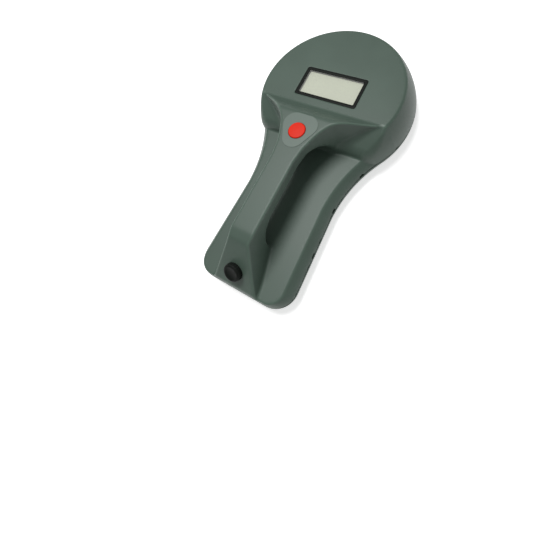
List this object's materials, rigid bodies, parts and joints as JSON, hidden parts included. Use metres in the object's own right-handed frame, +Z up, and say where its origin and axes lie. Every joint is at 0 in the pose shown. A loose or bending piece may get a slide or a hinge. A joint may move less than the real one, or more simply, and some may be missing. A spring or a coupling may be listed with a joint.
{
  "type": "microchip scanner",
  "caption": "Handheld microchip scanner for pets: a round reading head with a display window, a raised grip bar with a red button, and a sloping tail with a capped socket.",
  "frame": {"origin": "on the resting surface, below the middle of the scanner's bounding box", "axes": "+Z up out of the face, +Y from the tail to the reading head, +X to the right seen from above"},
  "size_m": [0.146, 0.261, 0.0585],
  "materials": {
    "casing": "grey-green moulded plastic, fine satin grain",
    "black_plastic": "black moulded plastic",
    "button_red": "orange-red moulded button, semi-gloss",
    "plate": "paler grey-green overlay round the button",
    "lens": "clear display window",
    "display": "unlit grey-green liquid crystal cell",
    "inner_plastic": "natural grey moulded plastic",
    "board": "green circuit board",
    "steel": "bright plated steel",
    "copper": "enamelled copper winding",
    "rubber": "black rubber",
    "battery_wrap": "blue film wrap",
    "red_lead": "red insulated wire"
  },
  "bodies": {
    "scanner": {"upper_housing": "casing", "lower_housing": "casing", "grip_cover": "casing", "lcd_frame": "black_plastic", "battery_tray": "black_plastic", "lcd_header": "black_plastic", "processor": "black_plastic", "radio_chip": "black_plastic", "buzzer": "black_plastic", "button_switch": "black_plastic", "button_plate": "plate", "lcd_lens": "lens", "lcd_cell": "display", "lcd_carrier": "inner_plastic", "aerial_former": "inner_plastic", "reservoir_capacitor": "inner_plastic", "button_lead": "inner_plastic", "socket_lead": "inner_plastic", "main_board": "board", "switch_board": "board", "front_contact": "steel", "rear_contact": "steel", "button_spring": "steel", "data_socket": "steel", "socket_nut": "steel", "battery_spring_1": "steel", "battery_spring_2": "steel", "battery_spring_3": "steel", "battery_spring_4": "steel", "board_screw_1": "steel", "board_screw_2": "steel", "board_screw_3": "steel", "board_screw_4": "steel", "case_screw_1": "steel", "case_screw_2": "steel", "case_screw_3": "steel", "case_screw_4": "steel", "case_screw_5": "steel", "case_screw_6": "steel", "aerial_winding": "copper", "rubber_foot_1": "rubber", "rubber_foot_2": "rubber", "rubber_foot_3": "rubber", "rubber_foot_4": "rubber", "battery_1": "battery_wrap", "battery_2": "battery_wrap", "battery_3": "battery_wrap", "battery_4": "battery_wrap", "battery_lead": "red_lead"},
    "button": {"scan_button": "button_red", "switch_plunger": "black_plastic"},
    "door": {"battery_door": "casing"},
    "cap": {"port_cap": "black_plastic"}
  },
  "joints": [
    {"name": "button_press", "type": "slide", "parent": "scanner", "child": "button", "axis": [0, 0, -1], "range_m": [0, 0.0012], "stiffness_N_per_m": 400, "springref_m": -0.002, "deforming": ["button_spring"]},
    {"name": "door_swing", "type": "hinge", "parent": "scanner", "child": "door", "pos_m": [0, -0.038, 0.0023], "axis": [1, 0, 0], "range_deg": [0, 100]},
    {"name": "cap_pull", "type": "slide", "parent": "scanner", "child": "cap", "axis": [0, -0.6727, 0.7399], "range_m": [0, 0.012]}
  ]
}
